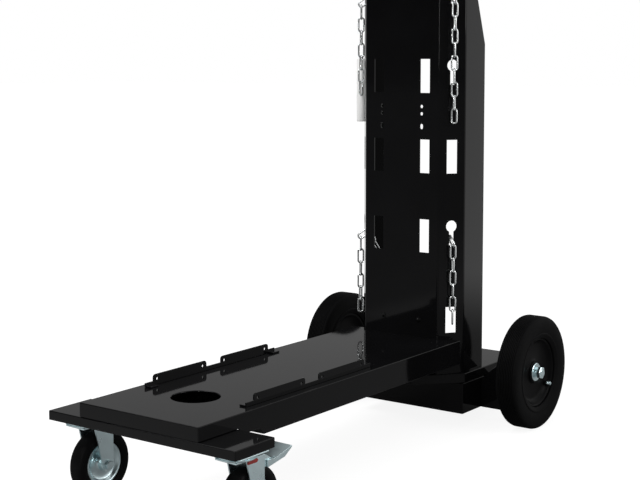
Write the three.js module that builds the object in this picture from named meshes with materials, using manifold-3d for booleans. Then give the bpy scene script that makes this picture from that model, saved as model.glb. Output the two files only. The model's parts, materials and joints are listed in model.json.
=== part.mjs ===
// Welding cart: a folded steel tray on a front crossbar with two swivel casters,
// a slotted cylinder tower with chains, and a cylinder shelf between two large rear wheels.
// Millimetres, +X to the cart's right as seen from the front, +Y to the back, +Z up.
import * as THREE from 'three';
import { mergeVertices } from 'three/addons/utils/BufferGeometryUtils.js';
import Module from 'manifold-3d';

const wasm = await Module();
wasm.setup();

// Sheet metal and fits
const SHEET = 3;
const SEAT_GAP = 0.3;
const RUN_GAP = 0.6;

// Front crossbar
const CROSSBAR_DEPTH = 105;
const CROSSBAR_HEIGHT = 18;
const CROSSBAR_WINDOW = 190;

// Tray
const TRAY_WIDTH = 284;
const TRAY_LIP = 26.7;
const TRAY_SIDE = 52;
const TRAY_STEP = 39;
const TRAY_STEP_END = 165;
const TRAY_HOLE_DIAMETER = 92;
const TRAY_HOLE_Y = 155;
const TRAY_OVERRUN = 23;
const STIFFENER_LENGTH = 170;
const STIFFENER_LIP = 14;

// Guide rails on the tray
const RAIL_INSET = 21;
const RAIL_FRONT = 172;
const RAIL_TAB_LENGTH = 153;
const RAIL_TAB_GAP = 44;
const RAIL_TAB_HEIGHT = 20.5;
const RAIL_STRIP_HEIGHT = 8;
const RAIL_FOOT_LENGTH = 22;
const RAIL_FOOT_WIDTH = 13;
const RAIL_CORNER = 7;
const RAIL_HOLE_DIAMETER = 6;
const RAIL_HOLE_INSET = 11;

// Tower
const TOWER_FRONT = 849;
const TOWER_TOP = 1045;
const WEB_WIDTH = 192;
const WING_OUT = 38;
const WING_BACK = 50;
const FLANGE_DEPTH = 84;
const BEND_RADIUS = 5;
const TAPER_START = 852;
const TAPER_SLOPE = 0.345;
const ROW_PITCH = 176.5;
const ROW_BOTTOM = 428.5;
const SLOT_WIDTH = 25;
const SLOT_HEIGHT = 74;
const WEB_SLOT_SPACING = 120;
const WEB_HOLE_SPACING = 103;
const WEB_HOLE_DIAMETER = 8;
const WEB_HOLE_UPPER = 112;
const WEB_HOLE_LOWER = 128;
const WEB_HOLE_SLOT = 156;
const WEB_HOLE_SLOT_LENGTH = 12;
const FOOT_SLOT_BOTTOM = 214;
const FOOT_SLOT_HEIGHT = 58;
const KEYHOLE_DIAMETER = 26;
const KEYHOLE_SLOT_WIDTH = 11;
const KEYHOLE_RISE = 23;
const KEYHOLE_DROP = 42;
const WING_MIDDLE = 32;

// Push handle
const HANDLE_DIAMETER = 25;
const HANDLE_LEG_BOTTOM = 880;
const HANDLE_LEG_Y = 916;
const HANDLE_RISE = 1000;
const HANDLE_BACK = 1050;
const HANDLE_TOP = 1085;
const HANDLE_BEND = 45;

// Rod holder tube on the left flange
const TUBE_DIAMETER = 24;
const TUBE_LENGTH = 145;
const TUBE_WALL = 2;
const TUBE_BOTTOM = 675;
const TUBE_SETBACK = 8;

// Cylinder shelf and its support
const SHELF_WIDTH = 284;
const SHELF_TOP = 122;
const SHELF_LIP = 21;
const SHELF_FRONT = 807;
const SHELF_CHAMFER = 87;
const SHELF_REAR = 1150;
const SHELF_REAR_CHAMFER = 45;
const BASE_FRONT = 884;
const BASE_REAR = 1094;
const BASE_BOTTOM = 32;

// Rear wheels and their carriers
const WHEEL_DIAMETER = 250;
const TYRE_WIDTH = 50;
const TYRE_HEIGHT = 49;
const TYRE_SHOULDER = 9;
const TREAD_GROOVES = 2;
const TREAD_GROOVE_DEPTH = 2;
const WHEEL_OUTER_SPAN = 562;
const AXLE_Y = 989;
const AXLE_DIAMETER = 16;
const AXLE_HEAD_DIAMETER = 28;
const AXLE_HEAD_LENGTH = 7;
const AXLE_COLLAR_LENGTH = 6;
const AXLE_TAIL = 1;
const HUB_LENGTH = 38;
const HUB_DIAMETER = 48;
const HUB_DISC = 8;
const HUB_RIM_WALL = 6;
const NUT_WIDTH = 24;
const NUT_HEIGHT = 17;
const NUT_HEAD_HEIGHT = 8;
const NUT_NECK_DIAMETER = 21;
const NUT_FLANGE_DIAMETER = 40;
const NUT_FLANGE_HEIGHT = 3;
const BRACKET_TYRE_GAP = 9.7;
const BRACKET_WIDTH = 46;
const BRACKET_TOP = 150;
const BRACKET_LOW = 98;
const BRACKET_CREST = 18;
const BRACKET_WALL = 4;

// Casters
const CASTER_HEIGHT = 155;
const CASTER_SPACING = 362;
const CASTER_Y = 52;
const CASTER_TRAIL = 33;
const CASTER_TURN = -3;
const CASTER_WHEEL_DIAMETER = 125;
const CASTER_TYRE_WIDTH = 34;
const CASTER_TYRE_HEIGHT = 21.5;
const CASTER_TYRE_SHOULDER = 7;
const CASTER_HUB_DISC = 5;
const CASTER_HUB_DIAMETER = 26;
const CASTER_AXLE_DIAMETER = 10;
const CASTER_AXLE_HEAD = 18;
const CASTER_AXLE_HEAD_LENGTH = 6;
const CASTER_PLATE_LENGTH = 84;
const CASTER_PLATE_WIDTH = 76;
const CASTER_RACE_DIAMETER = 72;
const CASTER_RACE_HEIGHT = 8;
const KINGPIN_DIAMETER = 12;
const KINGPIN_HEAD = 22;
const KINGPIN_HEAD_HEIGHT = 5;
const FORK_SHEET = 3;
const FORK_CROWN_FRONT = 26;
const FORK_LEG_WIDTH = 46;
const FORK_SIDE_GAP = 4.5;
const FORK_EYE_RADIUS = 13;

// Brake on the right caster
const BRAKE_PIVOT_Y = 58;
const BRAKE_PIVOT_DROP = 12;
const BRAKE_PIN_DIAMETER = 8;
const BRAKE_LUG_RADIUS = 8;
const BRAKE_PLATE = 3;
const BRAKE_LENGTH = 56;
const BRAKE_RISE = 12;
const BRAKE_CHEEK_DROP = 9;
const BRAKE_CHEEK_REACH = 37;
const BRAKE_SHOE_LENGTH = 8;
const BRAKE_SHOE_DROP = 6.5;
const BRAKE_CAP_LENGTH = 26;
const BRAKE_CAP_HEIGHT = 8;
const BRAKE_CAP_THICKNESS = 4;

// Chain
const CHAIN_WIRE = 4;
const CHAIN_PITCH = 28;
const CHAIN_INNER_WIDTH = 8;
const CHAIN_SEAT = 0.8;
const CHAIN_TILT = 35;
const CHAIN_STANDOFF = 1;
const CHAIN_SIDES = 4;
const CHAIN_BEND_STEPS = 4;
const CHAIN_TWIST = -5;
const STRAND_SPARE_LINKS = 3;
const TAIL_LINKS = { upper_right: 9, upper_left: 7, lower_right: 6, lower_left: 6 };

// Facets
const WHEEL_FACETS = 24;
const CASTER_FACETS = 16;
const HOLE_FACETS = 12;
const HANDLE_STEPS = 28;
const HANDLE_FACETS = 10;
const BEND_FACETS = 3;

// Heights and places that follow from the sizes above
const crossbarTop = CASTER_HEIGHT + CROSSBAR_HEIGHT;
const trayTop = crossbarTop + SEAT_GAP + TRAY_LIP;
const wheelRadius = WHEEL_DIAMETER / 2;
const wheelInner = WHEEL_OUTER_SPAN / 2 - TYRE_WIDTH;
const bracketOuter = wheelInner - BRACKET_TYRE_GAP;
const casterAxleZ = CASTER_WHEEL_DIAMETER / 2;
const wingLength = Math.hypot(WING_OUT, WING_BACK);
const wingTangent = new THREE.Vector3(WING_OUT, WING_BACK, 0).divideScalar(wingLength);
const wingNormal = new THREE.Vector3(WING_BACK, -WING_OUT, 0).divideScalar(wingLength);
const flangeX = WEB_WIDTH / 2 + WING_OUT;
const flangeFront = TOWER_FRONT + WING_BACK;
const flangeRear = flangeFront + FLANGE_DEPTH;
const keyholeRows = [0, 2, 3];

const cart = new THREE.Group();
cart.position.y = -SHELF_REAR / 2;

// Materials
const paint = { color: 0x16171a, roughness: 0.22, metalness: 0.0 };
const zinc = { color: 0xb9bec4, roughness: 0.32, metalness: 0.9 };
const rubber = { color: 0x1b1b1c, roughness: 0.75, metalness: 0.0 };
const blackPlastic = { color: 0x202123, roughness: 0.5, metalness: 0.0 };
const palePlastic = { color: 0xdedfdc, roughness: 0.4, metalness: 0.0 };
const redPlastic = { color: 0xb3201c, roughness: 0.4, metalness: 0.0 };

function addPart(name, geometry, look, parent = cart) {
  const mesh = new THREE.Mesh(geometry, new THREE.MeshStandardMaterial(look));
  mesh.name = name;
  parent.add(mesh);
  return mesh;
}

// Solids and booleans
function solid(geometry) {
  const bare = geometry.clone();
  bare.deleteAttribute('normal');
  bare.deleteAttribute('uv');
  const welded = mergeVertices(bare, 1e-4);
  const vertProperties = new Float32Array(welded.attributes.position.array);
  const triVerts = new Uint32Array(welded.index.array);
  return new wasm.Manifold(new wasm.Mesh({ numProp: 3, vertProperties, triVerts }));
}

function geometryOf(manifold) {
  const { vertProperties, triVerts } = manifold.getMesh();
  const geometry = new THREE.BufferGeometry();
  geometry.setAttribute('position', new THREE.BufferAttribute(new Float32Array(vertProperties), 3));
  geometry.setIndex(new THREE.BufferAttribute(new Uint32Array(triVerts), 1));
  geometry.computeVertexNormals();
  return geometry;
}

function cut(body, ...tools) {
  return tools.reduce((rest, tool) => rest.subtract(tool), body);
}

function join(body, ...others) {
  return others.reduce((sum, other) => sum.add(other), body);
}

function box(x0, x1, y0, y1, z0, z1) {
  const geometry = new THREE.BoxGeometry(x1 - x0, y1 - y0, z1 - z0);
  return solid(geometry.translate((x0 + x1) / 2, (y0 + y1) / 2, (z0 + z1) / 2));
}

function outline(points) {
  return new THREE.Shape(points.map(([u, v]) => new THREE.Vector2(u, v)));
}

// Prisms: the shape's plane is XY, YZ or XZ
function prismZ(shape, z0, z1, curveSegments = HOLE_FACETS / 2) {
  const geometry = new THREE.ExtrudeGeometry(shape, { depth: z1 - z0, bevelEnabled: false, curveSegments });
  return solid(geometry.translate(0, 0, z0));
}

function prismX(shape, x0, x1, curveSegments = HOLE_FACETS / 2) {
  const geometry = new THREE.ExtrudeGeometry(shape, { depth: x1 - x0, bevelEnabled: false, curveSegments });
  const axes = new THREE.Matrix4().makeBasis(
    new THREE.Vector3(0, 1, 0), new THREE.Vector3(0, 0, 1), new THREE.Vector3(1, 0, 0));
  return solid(geometry.applyMatrix4(axes).translate(x0, 0, 0));
}

function prismY(shape, y0, y1, curveSegments = HOLE_FACETS / 2) {
  const geometry = new THREE.ExtrudeGeometry(shape, { depth: y1 - y0, bevelEnabled: false, curveSegments });
  const axes = new THREE.Matrix4().makeBasis(
    new THREE.Vector3(1, 0, 0), new THREE.Vector3(0, 0, 1), new THREE.Vector3(0, -1, 0));
  return solid(geometry.applyMatrix4(axes).translate(0, y1, 0));
}

function circle(u, v, radius) {
  return new THREE.Shape().absarc(u, v, radius, 0, 2 * Math.PI);
}

// Turned solids: profile points are [radius, place along the axis]
function turnedZ(profile, facets) {
  const points = profile.map(([radius, along]) => new THREE.Vector2(radius, along));
  const geometry = new THREE.LatheGeometry(points, facets);
  return geometry.rotateX(Math.PI / 2);
}

function turnedX(profile, facets) {
  const points = profile.map(([radius, along]) => new THREE.Vector2(radius, along));
  const geometry = new THREE.LatheGeometry(points, facets);
  return geometry.rotateZ(-Math.PI / 2);
}

// A lathe may come out facing in, so its solid is turned to face out
function turnedSolid(geometry) {
  const bare = geometry.clone();
  bare.deleteAttribute('normal');
  bare.deleteAttribute('uv');
  const welded = mergeVertices(bare, 1e-4);
  const index = welded.index.array;
  const position = welded.attributes.position;
  const corners = [new THREE.Vector3(), new THREE.Vector3(), new THREE.Vector3()];
  const kept = [];
  let volume = 0;
  for (let i = 0; i < index.length; i += 3) {
    const triple = [index[i], index[i + 1], index[i + 2]];
    if (new Set(triple).size === 3) {
      kept.push(...triple);
      triple.forEach((vertex, k) => corners[k].fromBufferAttribute(position, vertex));
      volume += corners[0].dot(corners[1].clone().cross(corners[2])) / 6;
    }
  }
  if (volume < 0) {
    kept.reverse();
  }
  welded.setIndex(kept);
  return solid(welded);
}

// Rounded sheet section: offsets a bent centre line to both faces with arcs at the bends
function bentSection(path, thickness, innerRadius) {
  const faces = [[], []];
  path.forEach((point, i) => {
    const before = path[i - 1];
    const after = path[i + 1];
    const inward = before && new THREE.Vector2().subVectors(point, before).normalize();
    const outward = after && new THREE.Vector2().subVectors(after, point).normalize();
    if (!before || !after) {
      const direction = inward || outward;
      const normal = new THREE.Vector2(-direction.y, direction.x);
      faces[0].push(point.clone());
      faces[1].push(point.clone().addScaledVector(normal, thickness));
      return;
    }
    const turn = Math.atan2(inward.cross(outward), inward.dot(outward));
    const outerRadius = innerRadius + thickness;
    const reach = outerRadius * Math.tan(Math.abs(turn) / 2);
    const start = point.clone().addScaledVector(inward, -reach);
    const startNormal = new THREE.Vector2(-inward.y, inward.x);
    const centre = start.clone().addScaledVector(startNormal, outerRadius);
    const startAngle = Math.atan2(start.y - centre.y, start.x - centre.x);
    for (let k = 0; k <= BEND_FACETS; k += 1) {
      const angle = startAngle + turn * k / BEND_FACETS;
      const ray = new THREE.Vector2(Math.cos(angle), Math.sin(angle));
      faces[0].push(centre.clone().addScaledVector(ray, outerRadius));
      faces[1].push(centre.clone().addScaledVector(ray, innerRadius));
    }
  });
  return new THREE.Shape([...faces[0], ...faces[1].reverse()]);
}

// Insets a convex outline, given anticlockwise, by one distance
function inset(points, distance) {
  const count = points.length;
  const lines = points.map(([x, y], i) => {
    const [nextX, nextY] = points[(i + 1) % count];
    const length = Math.hypot(nextX - x, nextY - y);
    const ux = (nextX - x) / length;
    const uy = (nextY - y) / length;
    return { x: x - uy * distance, y: y + ux * distance, ux, uy };
  });
  return lines.map((line, i) => {
    const last = lines[(i + count - 1) % count];
    const cross = last.ux * line.uy - last.uy * line.ux;
    const along = ((line.x - last.x) * line.uy - (line.y - last.y) * line.ux) / cross;
    return [last.x + last.ux * along, last.y + last.uy * along];
  });
}

// Front crossbar: a folded box with a window below, so that the caster bolts can be reached
function crossbar() {
  const half = (CASTER_SPACING + CASTER_PLATE_LENGTH) / 2;
  const shell = box(-half, half, 0, CROSSBAR_DEPTH, CASTER_HEIGHT, crossbarTop);
  const hollow = box(-half + SHEET, half - SHEET, SHEET, CROSSBAR_DEPTH - SHEET,
    CASTER_HEIGHT + SHEET, crossbarTop - SHEET);
  const window = box(-CROSSBAR_WINDOW / 2, CROSSBAR_WINDOW / 2, 2 * SHEET, CROSSBAR_DEPTH - 2 * SHEET,
    CASTER_HEIGHT - SHEET, CASTER_HEIGHT + 2 * SHEET);
  addPart('crossbar', geometryOf(cut(shell, hollow, window)), paint);
}

// Plan of the tower's outer face, from the left flange round to the right flange
function towerPath() {
  const halfWeb = WEB_WIDTH / 2;
  return [
    new THREE.Vector2(-flangeX, flangeRear),
    new THREE.Vector2(-flangeX, flangeFront),
    new THREE.Vector2(-halfWeb, TOWER_FRONT),
    new THREE.Vector2(halfWeb, TOWER_FRONT),
    new THREE.Vector2(flangeX, flangeFront),
    new THREE.Vector2(flangeX, flangeRear),
  ];
}

// Tray: an inverted channel whose back is cut to the tower's outline
function tray() {
  const half = TRAY_WIDTH / 2;
  const rear = TOWER_FRONT + TRAY_OVERRUN;
  const low = trayTop - TRAY_SIDE;
  const step = trayTop - TRAY_STEP;
  const stepStart = CROSSBAR_DEPTH + SHEET;
  const side = outline([
    [0, crossbarTop + SEAT_GAP],
    [stepStart, crossbarTop + SEAT_GAP],
    [stepStart, step],
    [TRAY_STEP_END, step],
    [TRAY_STEP_END + step - low, low],
    [rear, low],
    [rear, trayTop],
    [0, trayTop],
  ]);
  const blank = prismX(side, -half, half);
  const hollow = box(-half + SHEET, half - SHEET, SHEET, rear + SHEET, low - SHEET, trayTop - SHEET);
  const hole = prismZ(circle(0, TRAY_HOLE_Y, TRAY_HOLE_DIAMETER / 2), trayTop - 2 * SHEET, trayTop + SHEET,
    HOLE_FACETS);
  const halfWeb = WEB_WIDTH / 2 + SEAT_GAP;
  const past = rear + SHEET;
  const slope = (past - TOWER_FRONT) * WING_OUT / WING_BACK;
  const towerBay = outline([
    [-halfWeb, TOWER_FRONT - SEAT_GAP],
    [halfWeb, TOWER_FRONT - SEAT_GAP],
    [halfWeb + slope, past],
    [-halfWeb - slope, past],
  ]);
  const bay = prismZ(towerBay, low - SHEET, trayTop + SHEET);
  addPart('tray', geometryOf(cut(blank, hollow, hole, bay)), paint);
}

// Stiffener: a shallow pan between the tray's side walls, under the hole
function trayStiffener() {
  const half = TRAY_WIDTH / 2 - SHEET - SEAT_GAP;
  const low = trayTop - TRAY_SIDE;
  const front = TRAY_STEP_END + TRAY_SIDE - TRAY_STEP;
  const rear = front + STIFFENER_LENGTH;
  const lip = low + STIFFENER_LIP;
  const blank = box(-half, half, front, rear, low, lip);
  const hollow = box(-half + SHEET, half - SHEET, front - SHEET, rear + SHEET, low + SHEET, lip + SHEET);
  addPart('tray_stiffener', geometryOf(cut(blank, hollow)), paint);
}

// Guide rail: a low upright strip with two raised tabs and a foot at each end
function railOutline() {
  const base = trayTop + SEAT_GAP;
  const strip = base + RAIL_STRIP_HEIGHT;
  const top = base + RAIL_TAB_HEIGHT;
  const shape = new THREE.Shape();
  const secondTab = RAIL_FRONT + RAIL_TAB_LENGTH + RAIL_TAB_GAP;
  const end = secondTab + RAIL_TAB_LENGTH + RAIL_FOOT_LENGTH;
  shape.moveTo(RAIL_FRONT - RAIL_FOOT_LENGTH, base);
  shape.lineTo(end, base);
  shape.lineTo(end, strip);
  [secondTab, RAIL_FRONT].forEach((start) => {
    const stop = start + RAIL_TAB_LENGTH;
    shape.lineTo(stop, strip);
    shape.lineTo(stop, top - RAIL_CORNER);
    shape.quadraticCurveTo(stop, top, stop - RAIL_CORNER, top);
    shape.lineTo(start + RAIL_CORNER, top);
    shape.quadraticCurveTo(start, top, start, top - RAIL_CORNER);
    shape.lineTo(start, strip);
  });
  shape.lineTo(RAIL_FRONT - RAIL_FOOT_LENGTH, strip);
  [secondTab, RAIL_FRONT].forEach((start) => {
    [start + RAIL_HOLE_INSET, start + RAIL_TAB_LENGTH - RAIL_HOLE_INSET].forEach((y) => {
      const hole = new THREE.Path();
      hole.absarc(y, top - RAIL_HOLE_INSET + RAIL_HOLE_DIAMETER / 4, RAIL_HOLE_DIAMETER / 2, 0, 2 * Math.PI);
      shape.holes.push(hole);
    });
  });
  return shape;
}

function guideRail(side, sign) {
  const face = TRAY_WIDTH / 2 - RAIL_INSET;
  const base = trayTop + SEAT_GAP;
  const rearFoot = RAIL_FRONT + 2 * RAIL_TAB_LENGTH + RAIL_TAB_GAP;
  const span = (near, far) => [Math.min(sign * near, sign * far), Math.max(sign * near, sign * far)];
  const upright = prismX(railOutline(), ...span(face, face + SHEET), 4);
  const feet = [RAIL_FRONT - RAIL_FOOT_LENGTH, rearFoot].map((y) =>
    box(...span(face - RAIL_FOOT_WIDTH, face + SHEET / 2), y, y + RAIL_FOOT_LENGTH, base, base + SHEET));
  addPart(`guide_rail_${side}`, geometryOf(join(upright, ...feet)), paint);
}

// A cutter on the wing: shape coordinates are distance along the wing from the bend, and height
function wingCutter(shape, sign) {
  const depth = 6 * SHEET;
  const curveSegments = HOLE_FACETS / 2;
  const geometry = new THREE.ExtrudeGeometry(shape, { depth, bevelEnabled: false, curveSegments });
  const axes = new THREE.Matrix4().makeBasis(wingTangent, new THREE.Vector3(0, 0, 1), wingNormal);
  geometry.applyMatrix4(axes);
  const corner = new THREE.Vector3(WEB_WIDTH / 2, TOWER_FRONT, 0).addScaledVector(wingNormal, -depth / 2);
  const body = solid(geometry.translate(corner.x, corner.y, corner.z));
  return sign > 0 ? body : body.mirror([1, 0, 0]);
}

function rectangle(u, v, width, height) {
  return outline([
    [u - width / 2, v - height / 2],
    [u + width / 2, v - height / 2],
    [u + width / 2, v + height / 2],
    [u - width / 2, v + height / 2],
  ]);
}

function rowHeight(row) {
  return ROW_BOTTOM + row * ROW_PITCH;
}

function keyholeCircle(row) {
  return rowHeight(row) + KEYHOLE_RISE;
}

function keyholeSeat(row) {
  return keyholeCircle(row) - KEYHOLE_DROP;
}

// Keyhole: a round mouth with a narrow slot below it, drawn as one outline
function keyhole(row) {
  const radius = KEYHOLE_DIAMETER / 2;
  const half = KEYHOLE_SLOT_WIDTH / 2;
  const start = -Math.acos(half / radius);
  const shape = new THREE.Shape();
  shape.moveTo(WING_MIDDLE - half, keyholeSeat(row));
  shape.lineTo(WING_MIDDLE + half, keyholeSeat(row));
  shape.absarc(WING_MIDDLE, keyholeCircle(row), radius, start, Math.PI - start, false);
  return shape;
}

function slottedHole(u, v, diameter, length) {
  const radius = diameter / 2;
  const half = length / 2 - radius;
  const shape = new THREE.Shape();
  shape.absarc(u, v + half, radius, 0, Math.PI, false);
  shape.absarc(u, v - half, radius, Math.PI, 2 * Math.PI, false);
  return shape;
}

function towerCutters() {
  const webShapes = [];
  [-1, 1].forEach((sign) => {
    [0, 1, 2].forEach((row) => {
      webShapes.push(rectangle(sign * WEB_SLOT_SPACING / 2, rowHeight(row), SLOT_WIDTH, SLOT_HEIGHT));
    });
    const u = sign * WEB_HOLE_SPACING / 2;
    const upperSlotTop = rowHeight(2) + SLOT_HEIGHT / 2;
    webShapes.push(circle(u, upperSlotTop - WEB_HOLE_UPPER + WEB_HOLE_DIAMETER, WEB_HOLE_DIAMETER / 2));
    webShapes.push(circle(u, upperSlotTop - WEB_HOLE_LOWER + WEB_HOLE_DIAMETER, WEB_HOLE_DIAMETER / 2));
    webShapes.push(slottedHole(u, upperSlotTop - WEB_HOLE_SLOT + WEB_HOLE_DIAMETER, WEB_HOLE_DIAMETER,
      WEB_HOLE_SLOT_LENGTH));
  });
  const web = webShapes.map((shape) => prismY(shape, TOWER_FRONT - SHEET, TOWER_FRONT + 2 * SHEET, 4));
  const wing = [-1, 1].flatMap((sign) => [
    ...keyholeRows.map((row) => wingCutter(keyhole(row), sign)),
    wingCutter(rectangle(WING_MIDDLE, rowHeight(1), SLOT_WIDTH, SLOT_HEIGHT), sign),
    wingCutter(rectangle(WING_MIDDLE, FOOT_SLOT_BOTTOM + FOOT_SLOT_HEIGHT / 2, SLOT_WIDTH, FOOT_SLOT_HEIGHT),
      sign),
  ]);
  const taperRise = TOWER_TOP + SHEET - TAPER_START;
  const taper = prismX(outline([
    [flangeRear, TAPER_START],
    [flangeRear + SHEET, TAPER_START],
    [flangeRear + SHEET, TAPER_START + taperRise],
    [flangeRear - taperRise * TAPER_SLOPE, TAPER_START + taperRise],
  ]), -flangeX - SHEET, flangeX + SHEET);
  return [...web, ...wing, taper];
}

// Tower: one bent sheet with slots in the web and keyholes in the wings
function tower() {
  const section = bentSection(towerPath(), SHEET, BEND_RADIUS);
  const sheet = prismZ(section, SHELF_TOP + SEAT_GAP, TOWER_TOP);
  addPart('tower', geometryOf(cut(sheet, ...towerCutters())), paint);
}

// Push handle: one bent tube whose legs stand inside the flanges
function pushHandle() {
  const legX = flangeX - SHEET - SEAT_GAP - HANDLE_DIAMETER / 2;
  const corners = [
    new THREE.Vector3(-legX, HANDLE_LEG_Y, HANDLE_LEG_BOTTOM),
    new THREE.Vector3(-legX, HANDLE_LEG_Y, HANDLE_RISE),
    new THREE.Vector3(-legX, HANDLE_BACK, HANDLE_TOP),
    new THREE.Vector3(legX, HANDLE_BACK, HANDLE_TOP),
    new THREE.Vector3(legX, HANDLE_LEG_Y, HANDLE_RISE),
    new THREE.Vector3(legX, HANDLE_LEG_Y, HANDLE_LEG_BOTTOM),
  ];
  const path = new THREE.CurvePath();
  let from = corners[0];
  for (let i = 1; i < corners.length - 1; i += 1) {
    const toward = new THREE.Vector3().subVectors(corners[i], corners[i - 1]).normalize();
    const away = new THREE.Vector3().subVectors(corners[i + 1], corners[i]).normalize();
    const bendStart = corners[i].clone().addScaledVector(toward, -HANDLE_BEND);
    const bendEnd = corners[i].clone().addScaledVector(away, HANDLE_BEND);
    path.add(new THREE.LineCurve3(from, bendStart));
    path.add(new THREE.QuadraticBezierCurve3(bendStart, corners[i], bendEnd));
    from = bendEnd;
  }
  path.add(new THREE.LineCurve3(from, corners[corners.length - 1]));
  const ring = circle(0, 0, HANDLE_DIAMETER / 2);
  const geometry = new THREE.ExtrudeGeometry(ring, {
    steps: HANDLE_STEPS, extrudePath: path, curveSegments: HANDLE_FACETS / 2,
  });
  addPart('push_handle', geometryOf(turnedSolid(geometry)), paint);
}

// Rod holder: a tube closed at the bottom, on the outside of the left flange
function rodTube() {
  const outer = TUBE_DIAMETER / 2;
  const inner = outer - TUBE_WALL;
  const profile = [
    [0, 0],
    [outer, 0],
    [outer, TUBE_LENGTH],
    [inner, TUBE_LENGTH],
    [inner, TUBE_WALL],
    [0, TUBE_WALL],
  ];
  const body = turnedSolid(turnedZ(profile, HOLE_FACETS));
  const mesh = addPart('rod_holder_tube', geometryOf(body), palePlastic);
  mesh.position.set(-flangeX - SEAT_GAP - outer, flangeFront + TUBE_SETBACK, TUBE_BOTTOM);
}

// Cylinder shelf: a plate with a folded lip and cut corners
function shelf() {
  const half = SHELF_WIDTH / 2;
  const plan = [
    [-half + SHELF_CHAMFER, SHELF_FRONT],
    [half - SHELF_CHAMFER, SHELF_FRONT],
    [half, SHELF_FRONT + SHELF_CHAMFER],
    [half, SHELF_REAR - SHELF_REAR_CHAMFER],
    [half - SHELF_REAR_CHAMFER, SHELF_REAR],
    [-half + SHELF_REAR_CHAMFER, SHELF_REAR],
    [-half, SHELF_REAR - SHELF_REAR_CHAMFER],
    [-half, SHELF_FRONT + SHELF_CHAMFER],
  ];
  const bottom = SHELF_TOP - SHELF_LIP;
  const blank = prismZ(outline(plan), bottom, SHELF_TOP);
  const hollow = prismZ(outline(inset(plan, SHEET)), bottom - SHEET, SHELF_TOP - SHEET);
  addPart('cylinder_shelf', geometryOf(cut(blank, hollow)), paint);
}

// Shelf base: a folded box, open below, that carries the shelf's lip and the axle brackets
function shelfBase() {
  const half = SHELF_WIDTH / 2;
  const top = SHELF_TOP - SHELF_LIP - SEAT_GAP;
  const shell = box(-half, half, BASE_FRONT, BASE_REAR, BASE_BOTTOM, top);
  const hollow = box(-half + SHEET, half - SHEET, BASE_FRONT + SHEET, BASE_REAR - SHEET,
    BASE_BOTTOM - SHEET, top - SHEET);
  addPart('shelf_base', geometryOf(cut(shell, hollow)), paint);
}

// Axle bracket: a folded gusset box between the base and the wheel, open below
function axleBracket(side, sign) {
  const inner = SHELF_WIDTH / 2 + SEAT_GAP;
  const front = AXLE_Y - BRACKET_WIDTH / 2;
  const rear = AXLE_Y + BRACKET_WIDTH / 2;
  const profile = [
    [inner, BASE_BOTTOM],
    [bracketOuter, BASE_BOTTOM],
    [bracketOuter, BRACKET_TOP],
    [bracketOuter - BRACKET_CREST, BRACKET_TOP],
    [inner, BRACKET_LOW],
  ];
  const hollowProfile = inset(profile, BRACKET_WALL);
  hollowProfile[0][1] = BASE_BOTTOM - BRACKET_WALL;
  hollowProfile[1][1] = BASE_BOTTOM - BRACKET_WALL;
  const blank = prismY(outline(profile), front, rear);
  const hollow = prismY(outline(hollowProfile), front + BRACKET_WALL, rear - BRACKET_WALL);
  const bore = prismX(circle(AXLE_Y, wheelRadius, AXLE_DIAMETER / 2 + SEAT_GAP),
    bracketOuter - 2 * BRACKET_WALL, bracketOuter + BRACKET_WALL, HOLE_FACETS);
  const body = cut(blank, hollow, bore);
  addPart(`axle_bracket_${side}`, geometryOf(sign > 0 ? body : body.mirror([1, 0, 0])), paint);
}

// Places along the axle, measured out from the cart's middle
const collarEnd = bracketOuter + SEAT_GAP + AXLE_COLLAR_LENGTH;
const hubStart = collarEnd + SEAT_GAP;
const hubEnd = hubStart + HUB_LENGTH;
const nutStart = hubEnd + SEAT_GAP;
const axleEnd = nutStart + NUT_HEIGHT + AXLE_TAIL;

// Profiles on the wheel's axle are given outward from the cart's middle
function outward(profile, sign) {
  return profile.map(([radius, along]) => [radius, sign * along]);
}

function wheelSolid(profile, sign, facets = WHEEL_FACETS) {
  return turnedSolid(turnedX(outward(profile, sign), facets));
}

function stubAxle(side, sign) {
  const radius = AXLE_DIAMETER / 2;
  const head = AXLE_HEAD_DIAMETER / 2;
  const headEnd = bracketOuter - BRACKET_WALL - SEAT_GAP;
  const profile = [
    [0, headEnd - AXLE_HEAD_LENGTH],
    [head, headEnd - AXLE_HEAD_LENGTH],
    [head, headEnd],
    [radius, headEnd],
    [radius, bracketOuter + SEAT_GAP],
    [head, bracketOuter + SEAT_GAP],
    [head, collarEnd],
    [radius, collarEnd],
    [radius, axleEnd],
    [0, axleEnd],
  ];
  const mesh = addPart(`stub_axle_${side}`, geometryOf(wheelSolid(profile, sign, HOLE_FACETS)), zinc);
  mesh.position.set(0, AXLE_Y, wheelRadius);
}

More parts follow.
